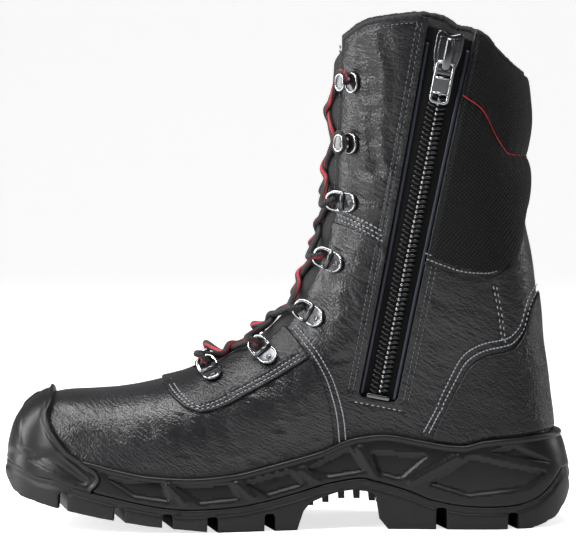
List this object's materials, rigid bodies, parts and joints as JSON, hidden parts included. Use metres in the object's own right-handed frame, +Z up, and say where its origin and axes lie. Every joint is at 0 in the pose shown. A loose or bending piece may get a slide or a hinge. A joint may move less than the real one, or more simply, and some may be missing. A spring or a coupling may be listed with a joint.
{
  "type": "safety boot",
  "caption": "High black leather safety boot with a moulded toe cap, laces through metal loops and hooks, a padded textile collar and a zip on the inner side",
  "frame": {"origin": "middle of the boot's bounding box in plan, on the floor", "axes": "-X to the toe, +X to the heel, -Y to the inner side of the foot where the zip is, +Z up"},
  "size_m": [0.3104, 0.115, 0.2786],
  "materials": {
    "leather": "semi-gloss grain",
    "sole_rubber": "satin",
    "padded_textile": "matt weave",
    "lining": "matt",
    "zip_textile": "matt weave",
    "zip_plastic": "gloss",
    "hardware": "black nickel",
    "lace_cord": "braided, dark with red flecks"
  },
  "bodies": {
    "body": {"outsole": "sole_rubber", "midsole": "sole_rubber", "toe_cap": "sole_rubber", "upper": "leather", "lace_stay": "leather", "heel_counter": "leather", "insole": "lining", "tongue": "padded_textile", "collar_pad": "padded_textile", "zip_tape": "zip_textile", "zip_chain": "zip_plastic", "zip_stop": "hardware", "zip_slider": "hardware", "lace": "lace_cord", "lace_loop_inner_1": "hardware", "lace_loop_outer_1": "hardware", "lace_loop_inner_2": "hardware", "lace_loop_outer_2": "hardware", "lace_loop_inner_3": "hardware", "lace_loop_outer_3": "hardware", "lace_loop_inner_4": "hardware", "lace_loop_outer_4": "hardware", "lace_loop_inner_5": "hardware", "lace_loop_outer_5": "hardware", "lace_hook_inner_6": "hardware", "lace_hook_outer_6": "hardware", "lace_hook_inner_7": "hardware", "lace_hook_outer_7": "hardware"},
    "pull": {"zip_pull": "hardware"}
  },
  "joints": [
    {"name": "zip_pull_hinge", "type": "hinge", "parent": "body", "child": "pull", "pos_m": [0.08484, -0.04747, 0.2537], "axis": [-0.978, -0.0819, 0.1916], "range_deg": [0, 145]}
  ]
}
